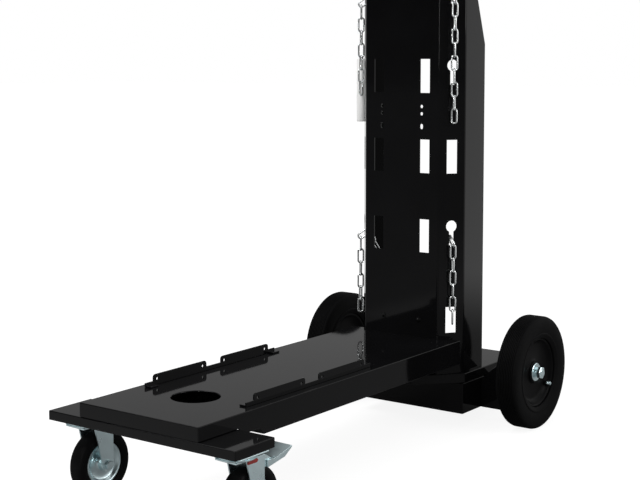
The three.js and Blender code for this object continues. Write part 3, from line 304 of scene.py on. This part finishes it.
# Painted shade: a darker, all but unreflecting black for the inner faces of the tower's bay
PAINT_BAY_SHADE = surface("black_paint_bay_shade", (0.0012, 0.0012, 0.0013), roughness=0.5, specular=0.01,
                       bump_scale=420, bump_height=0.00006, patch_scale=6, tint=0.2)
ZINC = surface("bright_zinc", (0.74, 0.89, 0.92), roughness=0.3, metallic=1.0,
               bump_scale=700, bump_height=0.00003, patch_scale=24, tint=0.05)
CHAIN = surface("chain_zinc", (0.78, 0.80, 0.80), roughness=0.22, metallic=1.0,
                bump_scale=1500, bump_height=0.00006, patch_scale=90, tint=0.08)
TYRE = surface("tyre_rubber", (0.0042, 0.0042, 0.0044), roughness=0.6, rough_spread=0.08, specular=0.03,
               bump_scale=1300, bump_height=0.0002, patch_scale=22, tint=0.25)
CASTER_RUBBER = surface("caster_rubber", (0.0050, 0.0050, 0.0052), roughness=0.45, rough_spread=0.07,
                        specular=0.05, bump_scale=1500, bump_height=0.0002, patch_scale=40, tint=0.25)
HUB = surface("hub_black", (0.0042, 0.0042, 0.0044), roughness=0.36, rough_spread=0.06, specular=0.04,
              bump_scale=800, bump_height=0.0001, patch_scale=25, tint=0.2)
PALE = surface("pale_tube", (0.88, 0.88, 0.87), roughness=0.36,
               bump_scale=700, bump_height=0.0001, patch_scale=20, tint=0.03)
RED = surface("red_plastic", (0.26, 0.020, 0.016), roughness=0.36,
              bump_scale=900, bump_height=0.0001, patch_scale=60, tint=0.12)
MATERIAL_OF_SLOT = {
    "black_paint": PAINT,
    "zinc_steel": ZINC,
    "chain_steel": CHAIN,
    "black_plastic": HUB,
    "tyre_rubber": TYRE,
    "caster_rubber": CASTER_RUBBER,
    "pale_plastic": PALE,
    "red_plastic": RED,
}


# Mesh helpers
POLE_RADIUS = 1e-7


def finish_mesh(name, bm, material, sharp):
    """An object from a bmesh, smooth apart from edges sharper than an angle in degrees."""
    bmesh.ops.recalc_face_normals(bm, faces=bm.faces[:])
    mesh = bpy.data.meshes.new(name)
    bm.to_mesh(mesh)
    bm.free()
    mesh.polygons.foreach_set("use_smooth", [True] * len(mesh.polygons))
    mesh.set_sharp_from_angle(angle=math.radians(sharp))
    mesh.materials.append(material)
    piece = bpy.data.objects.new(name, mesh)
    SCENE.collection.objects.link(piece)
    return piece


def stand_for(piece, node):
    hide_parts(node)
    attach(piece, BODY_OF[node])


def dress(node, form, bm, material, sharp):
    """A finished piece in the place of a CAD node, named after the node and its form."""
    piece = finish_mesh(f"{node}_{form}", bm, material, sharp)
    stand_for(piece, node)
    return piece


def join_rings(bm, rings, closed):
    """Faces between each ring of vertices and the next, and from the last ring to the first."""
    for first, second in zip(rings, rings[1:] + rings[:1]):
        count = len(first)
        for k in range(count if closed else count - 1):
            corners = []
            for vert in (first[k], first[(k + 1) % count], second[(k + 1) % count], second[k]):
                if vert not in corners:
                    corners.append(vert)
            if len(corners) > 2:
                bm.faces.new(corners)


def lathe(bm, profile, centre, axis, segments, closed=True):
    """Turns a profile of (radius, place along the axis), in drawing millimetres, round an axis."""
    along = Vector(axis).normalized()
    side = along.orthogonal().normalized()
    other = along.cross(side)
    rings = []
    poles = {}
    for k in range(segments):
        angle = 2 * math.pi * k / segments
        ray = side * math.cos(angle) + other * math.sin(angle)
        ring = []
        for index, (radius, place) in enumerate(metres(profile)):
            if radius < POLE_RADIUS:
                if index not in poles:
                    poles[index] = bm.verts.new(centre + along * place)
                ring.append(poles[index])
            else:
                ring.append(bm.verts.new(centre + along * place + ray * radius))
        rings.append(ring)
    join_rings(bm, rings, closed)


# Sheet-metal pieces: the CAD forms with rounded folds and edges, by the width of the rounding in metres
EDGE_WIDTHS = {
    "crossbar": 0.004,
    "tray": 0.0016,
    "tray_stiffener": 0.0008,
    "guide_rail_left": 0.0006,
    "guide_rail_right": 0.0006,
    "tower": 0.0006,
    "cylinder_shelf": 0.002,
    "shelf_base": 0.0014,
    "axle_bracket_left": 0.0015,
    "axle_bracket_right": 0.0015,
    "caster_plate_left": 0.0008,
    "caster_plate_right": 0.0008,
    "caster_fork_left": 0.0008,
    "caster_fork_right": 0.0008,
    "brake_pedal": 0.0006,
    "brake_cap": 0.0012,
}
EDGE_SEGMENTS = 2
EDGE_PROFILE = 0.5
EDGE_ANGLE = math.radians(28)
FLAT_ANGLE = math.radians(0.6)
MERGE_DISTANCE = 1e-6
FLAT_WEIGHT = 100
CROSSBAR_REAR = -0.478


def bevelled(node, width):
    """A copy of a CAD node with its edges rounded, apart from the crossbar's rear edges under the tray."""
    bm = bmesh.new()
    bm.from_mesh(NODES[node].data)
    bmesh.ops.remove_doubles(bm, verts=bm.verts[:], dist=MERGE_DISTANCE)
    bmesh.ops.dissolve_limit(bm, angle_limit=FLAT_ANGLE, verts=bm.verts[:], edges=bm.edges[:])
    edges = [e for e in bm.edges if len(e.link_faces) == 2 and e.calc_face_angle(0) > EDGE_ANGLE]
    if node == "crossbar":
        edges = [e for e in edges if min(v.co.y for v in e.verts) < CROSSBAR_REAR]
    bmesh.ops.bevel(bm, geom=edges, offset=width, segments=EDGE_SEGMENTS, profile=EDGE_PROFILE,
                    affect="EDGES", clamp_overlap=True)
    piece = dress(node, "finished", bm, MATERIAL_OF_SLOT[SLOT_OF[node]], 60)
    flatten = piece.modifiers.new("flat_faces", "WEIGHTED_NORMAL")
    flatten.weight = FLAT_WEIGHT
    flatten.keep_sharp = True
    return piece


# The tower's inner faces, in the cylinder's bay, get a rougher black that is darker and all but unreflecting:
# painted shade in the bay
BAY_FRONT = 0.276
BAY_HALF = 0.133
BAY_FACING = 0.3
BAY_INWARD = -1e-4


def shade_bay(mesh):
    mesh.materials.append(PAINT_BAY_SHADE)
    for face in mesh.polygons:
        middle = face.center
        inward = face.normal.x * middle.x < BAY_INWARD and abs(face.normal.x) > BAY_FACING
        if inward and middle.y > BAY_FRONT and abs(middle.x) < BAY_HALF:
            face.material_index = 1


sheet_pieces = {}
for sheet_node, edge_width in EDGE_WIDTHS.items():
    sheet_pieces[sheet_node] = bevelled(sheet_node, edge_width)
shade_bay(sheet_pieces["tower"].data)

# Tower: its plan, and two domed bolts with washers low on the web
TOWER_FRONT = 849.0
WEB_HALF = 96.0
WING_OUT = 38.0
WING_BACK = 50.0
WING_MIDDLE = 32.0
WING_TANGENT = Vector((WING_OUT, WING_BACK, 0)).normalized()
WING_NORMAL = Vector((WING_BACK, -WING_OUT, 0)).normalized()
BOLT_X = 46.0
BOLT_Z = 240.0
BOLT_SEGMENTS = 28
BOLT_PROFILE = [
    (0, 4.4), (1.6, 4.2), (3.2, 3.3), (4.2, 1.9), (4.4, 1.0), (6.4, 1.0), (6.6, 0.7), (6.6, 0), (0, 0),
]


def tower_bolts():
    bm = bmesh.new()
    for _, sign in SIDES:
        lathe(bm, BOLT_PROFILE, at(sign * BOLT_X, TOWER_FRONT, BOLT_Z), (0, -1, 0), BOLT_SEGMENTS, False)
    bolts = finish_mesh("tower_bolts", bm, PAINT, 35)
    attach(bolts, "frame")


tower_bolts()

# Chain: round wire links where the CAD has them
CHAIN_WIRE = 4.0
CHAIN_PITCH = 28.0
CHAIN_INNER_WIDTH = 8.0
CHAIN_SEAT = 0.8
CHAIN_TILT = math.radians(35)
CHAIN_STANDOFF = 1.0
CHAIN_TWIST = -5.0
CHAIN_SHARP = 80
STRAND_SPARE_LINKS = 3
SEAT_GAP = 0.3
KEYHOLE_SEATS = {"upper": 939.0, "lower": 409.5}
LINK_BEND = (CHAIN_INNER_WIDTH + CHAIN_WIRE) / 2
LINK_STRAIGHT = (CHAIN_PITCH + CHAIN_WIRE) / 2 - LINK_BEND
LINK_STEP = CHAIN_PITCH + CHAIN_SEAT
LINK_BEND_STEPS = 9
LINK_SIDES = 10
TAIL_LINKS = {("upper", "right"): 9, ("upper", "left"): 7, ("lower", "right"): 6, ("lower", "left"): 6}
SADDLE_AXIS = WING_NORMAL * math.cos(CHAIN_TILT) - UP * math.sin(CHAIN_TILT)
ARC_ERROR = 1e-9


def add_link(bm, start, end, side, sign):
    """One oblong link of round wire between two joints, in drawing millimetres."""
    axis = (end - start).normalized()
    width = (side - axis * side.dot(axis)).normalized()
    depth = axis.cross(width)
    middle = (start + end) / 2
    radius = CHAIN_WIRE / 2
    rings = []
    for turn in (0, math.pi):
        for k in range(LINK_BEND_STEPS + 1):
            angle = turn - math.pi / 2 + math.pi * k / LINK_BEND_STEPS
            ray = axis * math.cos(angle) + width * math.sin(angle)
            centre = middle + axis * (LINK_STRAIGHT if turn == 0 else -LINK_STRAIGHT) + ray * LINK_BEND
            ring = []
            for s in range(LINK_SIDES):
                around = 2 * math.pi * s / LINK_SIDES
                point = centre + ray * (radius * math.cos(around)) + depth * (radius * math.sin(around))
                ring.append(bm.verts.new(at(sign * point.x, point.y, point.z)))
            rings.append(ring)
    join_rings(bm, rings, True)


def saddle_centre(level):
    """Middle of the link that lies in a right keyhole's slot."""
    lift = (LINK_BEND + CHAIN_WIRE / 2) / math.cos(CHAIN_TILT) - CHAIN_STANDOFF * math.tan(CHAIN_TILT)
    corner = Vector((WEB_HALF, TOWER_FRONT, KEYHOLE_SEATS[level] + SEAT_GAP + lift))
    return corner + WING_TANGENT * WING_MIDDLE + WING_NORMAL * CHAIN_STANDOFF


def chain_tail(level, side, sign):
    bm = bmesh.new()
    drop = LINK_BEND - CHAIN_WIRE - SEAT_GAP + (CHAIN_WIRE - CHAIN_SEAT) / 2
    first = saddle_centre(level) + SADDLE_AXIS * LINK_STRAIGHT - UP * drop
    for i in range(TAIL_LINKS[level, side]):
        start = first - UP * (LINK_STEP * i)
        turn = Matrix.Rotation(math.radians(i * (90 + CHAIN_TWIST)), 3, "Z")
        add_link(bm, start, start - UP * LINK_STEP, turn @ WING_TANGENT, sign)
    dress(f"chain_tail_{level}_{side}", "links", bm, CHAIN, CHAIN_SHARP)


def hanging_joints(span):
    """Joints of a chain hung between two points at one height, in equal steps on an arc."""
    links = math.floor(span / LINK_STEP) + STRAND_SPARE_LINKS
    low, high = 0.0, 2 * math.pi / links
    while high - low > ARC_ERROR:
        guess = (low + high) / 2
        if LINK_STEP * math.sin(links * guess / 2) / math.sin(guess / 2) > span:
            low = guess
        else:
            high = guess
    radius = LINK_STEP / (2 * math.sin(low / 2))
    rise = radius * math.cos(links * low / 2)
    angles = [(links / 2 - i) * low for i in range(links + 1)]
    return [Vector((radius * math.sin(a), 0, rise - radius * math.cos(a))) for a in angles]


def chain_strand(level):
    bm = bmesh.new()
    centre = saddle_centre(level)
    half = SADDLE_AXIS * (LINK_STEP / 2)
    inside = centre - half
    for sign in (1, -1):
        add_link(bm, inside, centre + half, UP, sign)
    joints = [joint + Vector((0, inside.y, inside.z)) for joint in hanging_joints(2 * inside.x)]
    for i, (start, end) in enumerate(zip(joints, joints[1:])):
        add_link(bm, start, end, UP if i % 2 else Vector((0, 1, 0)), 1)
    dress(f"chain_strand_{level}", "links", bm, CHAIN, CHAIN_SHARP)


for chain_level in ("upper", "lower"):
    chain_strand(chain_level)
    for chain_side, chain_sign in SIDES:
        chain_tail(chain_level, chain_side, chain_sign)


# Wheels: turned profiles, with places outward from the wheel's inner side
WHEEL_RADIUS = 125.0
WHEEL_INNER = 231.0
TYRE_WIDTH = 50.0
AXLE_Y = 989.0
TREAD_RIBS = 9
TREAD_START = 7.5
RIB_DEPTH = 1.5
# Each rib's foot and crown, as (share of its pitch, depth below the tread)
RIB_SHAPE = [(0.12, RIB_DEPTH), (0.28, 0.0), (0.72, 0.0), (0.88, RIB_DEPTH)]
TYRE_WALL_PROFILE = [
    (76.3, 5.5), (79, 3.8), (82, 2.8), (84, 1.4), (87, 1.2), (88.5, 2.2), (96, 0.7), (104, 0.1), (112, 0.0),
    (118, 0.6), (121.5, 1.8), (123.4, 3.8), (124.4, 6.4),
]
HUB_PROFILE = [
    (8.3, -3.1), (22.4, -3.1), (24, -1.5), (24, 19.4), (25.6, 21), (50, 21), (58, 20), (66, 15), (69.5, 10.5),
    (70.5, 9.2), (71.5, 9), (75, 9), (76, 10), (76, 40), (75, 41), (73.4, 41), (72.4, 40.4), (70.6, 37),
    (66, 31.5), (62, 29.6), (58, 29), (30, 29), (26, 29.6), (24, 31), (24, 33.6), (22.6, 34.9), (8.3, 34.9),
]
NUT_FLANGE_PROFILE = [
    (8.3, 35.2), (19, 35.2), (20, 36), (20, 37.4), (19, 38.2), (10.5, 38.2), (10.5, 45.2), (8.3, 45.2),
]
NUT_HEAD_PROFILE = [(8.3, 44.2), (12.6, 44.2), (13.8, 45), (13.8, 51.2), (12.4, 52.2), (8.3, 52.2)]
AXLE_PROFILE = [
    (0, -20.9), (13, -20.9), (14, -19.9), (14, -14.9), (13.2, -14), (8, -14), (8, -9.4), (13.2, -9.4),
    (14, -8.6), (14, -4.2), (13.2, -3.4), (8, -3.4), (8, 52), (6.8, 53.2), (0, 53.2),
]
# Valve stem: behind and below the axle, black up to its metal tip
VALVE_BACK = 55.0
VALVE_DROP = 35.0
VALVE_TIP = 40.0
VALVE_PROFILE = [(0, 28.6), (5, 28.6), (4.8, 36), (4, 37), (4, 44.8), (3, 46), (0, 46)]
TYRE_SEGMENTS = 128
HUB_SEGMENTS = 96
AXLE_SEGMENTS = 48
VALVE_SEGMENTS = 20
HEXAGON = 6


def wheel_centre(sign):
    return at(sign * WHEEL_INNER, AXLE_Y, WHEEL_RADIUS)


def rear_tyre(side, sign):
    outer_wall = [(radius, TYRE_WIDTH - place) for radius, place in reversed(TYRE_WALL_PROFILE)]
    rib = (TYRE_WIDTH - 2 * TREAD_START) / TREAD_RIBS
    tread = []
    for i in range(TREAD_RIBS):
        start = TREAD_START + i * rib
        tread += [(WHEEL_RADIUS - depth, start + share * rib) for share, depth in RIB_SHAPE]
    bm = bmesh.new()
    profile = TYRE_WALL_PROFILE + tread + outer_wall
    lathe(bm, profile, wheel_centre(sign), (sign, 0, 0), TYRE_SEGMENTS)
    dress(f"rear_tyre_{side}", "rubber", bm, TYRE, 35)


def axle_nut(side, sign):
    bm = bmesh.new()
    lathe(bm, NUT_FLANGE_PROFILE, wheel_centre(sign), (sign, 0, 0), AXLE_SEGMENTS)
    lathe(bm, NUT_HEAD_PROFILE, wheel_centre(sign), (sign, 0, 0), HEXAGON)
    dress(f"axle_nut_{side}", "hexagon", bm, ZINC, 25)


def rear_hub(side, sign):
    bm = bmesh.new()
    lathe(bm, HUB_PROFILE, wheel_centre(sign), (sign, 0, 0), HUB_SEGMENTS)
    rim_faces = set(bm.faces)
    valve = at(sign * WHEEL_INNER, AXLE_Y + VALVE_BACK, WHEEL_RADIUS - VALVE_DROP)
    lathe(bm, VALVE_PROFILE, valve, (sign, 0, 0), VALVE_SEGMENTS, False)
    tip_start = (WHEEL_INNER + VALVE_TIP) * MM
    for face in bm.faces:
        is_tip = face not in rim_faces and abs(face.calc_center_median().x) > tip_start
        face.material_index = 1 if is_tip else 0
    rim = dress(f"rear_hub_{side}", "rim", bm, HUB, 40)
    rim.data.materials.append(ZINC)


def stub_axle(side, sign):
    bm = bmesh.new()
    lathe(bm, AXLE_PROFILE, wheel_centre(sign), (sign, 0, 0), AXLE_SEGMENTS, False)
    dress(f"stub_axle_{side}", "turned", bm, ZINC, 35)


for wheel_side, wheel_sign in SIDES:
    rear_tyre(wheel_side, wheel_sign)
    axle_nut(wheel_side, wheel_sign)
    rear_hub(wheel_side, wheel_sign)
    stub_axle(wheel_side, wheel_sign)

# Casters: turned pieces, in the drawing of one caster with its swivel at the origin
CASTER_X = 181.0
CASTER_Y = 52.0
CASTER_TURN = math.radians(-3)
CASTER_TRAIL = 33.0
CASTER_AXLE_Z = 62.5
CASTER_TYRE_PROFILE = [
    (41.3, 13.5), (43.4, 15.4), (47, 16.6), (51, 17), (55.5, 16.7), (58.8, 15.4), (61, 12.8), (62.2, 9),
    (62.5, 5), (62.5, 0),
]
CASTER_HUB_PROFILE = [
    (5.3, 20.9), (11.6, 20.9), (13, 19.5), (13, 10), (15, 8.2), (22, 7.4), (29, 7.8), (33, 9.6), (35.6, 12.4),
    (37, 13.5), (40, 13.5), (41, 12.5), (41, 0),
]
CASTER_BOLT_PROFILE = [(0, 30.8), (7.4, 30.8), (9, 29.7), (9, 24.8), (5, 24.8), (5, 0)]
RACE_PROFILE = [
    (0, 143.4), (33.6, 143.4), (36, 145), (36, 146.5), (34.2, 147.1), (34.2, 147.7), (36, 148.3), (36, 149.8),
    (33.6, 151.4), (0, 151.4),
]
KINGPIN_PROFILE = [(0, 134.8), (9.6, 134.8), (11, 136.2), (11, 139.8), (0, 139.8)]
CASTER_TYRE_SEGMENTS = 96
CASTER_SEGMENTS = 72


def caster_at(sign, x, y, z):
    """A point in one caster's drawing as a point of the frame."""
    cosine, sine = math.cos(CASTER_TURN), math.sin(CASTER_TURN)
    return at(sign * CASTER_X + cosine * x - sine * y, CASTER_Y + sine * x + cosine * y, z)


def both_halves(profile):
    """A whole profile from the half on one side of the wheel's middle."""
    return profile + [(radius, -place) for radius, place in reversed(profile) if place > 0]


def caster_pieces(side, sign):
    axle = (math.cos(CASTER_TURN), math.sin(CASTER_TURN), 0)
    middle = caster_at(sign, 0, CASTER_TRAIL, CASTER_AXLE_Z)
    pivot = caster_at(sign, 0, 0, 0)
    tyre = bmesh.new()
    lathe(tyre, both_halves(CASTER_TYRE_PROFILE), middle, axle, CASTER_TYRE_SEGMENTS)
    dress(f"caster_tyre_{side}", "rubber", tyre, CASTER_RUBBER, 50)
    hub = bmesh.new()
    lathe(hub, both_halves(CASTER_HUB_PROFILE), middle, axle, CASTER_SEGMENTS)
    dress(f"caster_hub_{side}", "pressing", hub, ZINC, 40)
    bolt = bmesh.new()
    lathe(bolt, both_halves(CASTER_BOLT_PROFILE), middle, axle, HEXAGON, False)
    dress(f"caster_axle_{side}", "bolt", bolt, ZINC, 25)
    race = bmesh.new()
    lathe(race, RACE_PROFILE, pivot, UP, CASTER_SEGMENTS, False)
    lathe(race, KINGPIN_PROFILE, pivot, UP, HEXAGON, False)
    dress(f"caster_race_{side}", "turned", race, ZINC, 30)


for caster_side, caster_sign in SIDES:
    caster_pieces(caster_side, caster_sign)


# Push handle: a round tube along the bent path, whose left leg is given as (Y, Z) and mirrored
HANDLE_RADIUS = 12.5
HANDLE_BEND = 45.0
HANDLE_HALF = 118.2
HANDLE_LEG = [(916, 880), (916, 1000), (1050, 1085)]
HANDLE_SIDES = 28
BEND_STEPS = 12


def bent_path(corners, bend):
    """Points along straight runs that are joined by smooth bends."""
    points = [corners[0]]
    for before, corner, after in zip(corners, corners[1:], corners[2:]):
        start = corner + (before - corner).normalized() * bend
        end = corner + (after - corner).normalized() * bend
        for k in range(BEND_STEPS + 1):
            t = k / BEND_STEPS
            points.append(start * (1 - t) ** 2 + corner * (2 * t * (1 - t)) + end * t ** 2)
    return points + [corners[-1]]


def push_handle():
    left = [Vector((-HANDLE_HALF, y, z)) for y, z in HANDLE_LEG]
    right = [Vector((HANDLE_HALF, y, z)) for y, z in reversed(HANDLE_LEG)]
    points = bent_path(left + right, HANDLE_BEND)
    bm = bmesh.new()
    rings = []
    side = Vector((1, 0, 0))
    for i, point in enumerate(points):
        along = (points[min(i + 1, len(points) - 1)] - points[max(i - 1, 0)]).normalized()
        side = (side - along * side.dot(along)).normalized()
        other = along.cross(side)
        ring = []
        for k in range(HANDLE_SIDES):
            angle = 2 * math.pi * k / HANDLE_SIDES
            spot = point + (side * math.cos(angle) + other * math.sin(angle)) * HANDLE_RADIUS
            ring.append(bm.verts.new(at(*spot)))
        rings.append(ring)
    for first, second in zip(rings, rings[1:]):
        for k in range(HANDLE_SIDES):
            after = (k + 1) % HANDLE_SIDES
            bm.faces.new((first[k], first[after], second[after], second[k]))
    bm.faces.new(rings[0])
    bm.faces.new(rings[-1])
    dress("push_handle", "tube", bm, PAINT, 40)


push_handle()

# Rod holder: a pale tube with a rounded mouth
TUBE_PLACE = (-146.3, 907, 675)
TUBE_PROFILE = [
    (0, 0), (11, 0), (12, 1), (12, 144.2), (11.4, 145), (10.6, 145), (10, 144.2), (10, 2.6), (9.4, 2), (0, 2),
]
TUBE_SEGMENTS = 56


def rod_holder():
    bm = bmesh.new()
    lathe(bm, TUBE_PROFILE, at(*TUBE_PLACE), UP, TUBE_SEGMENTS, False)
    dress("rod_holder_tube", "moulded", bm, PALE, 40)


rod_holder()

for node_name, node_object in NODES.items():
    node_object.data.materials.clear()
    node_object.data.materials.append(MATERIAL_OF_SLOT[SLOT_OF[node_name]])
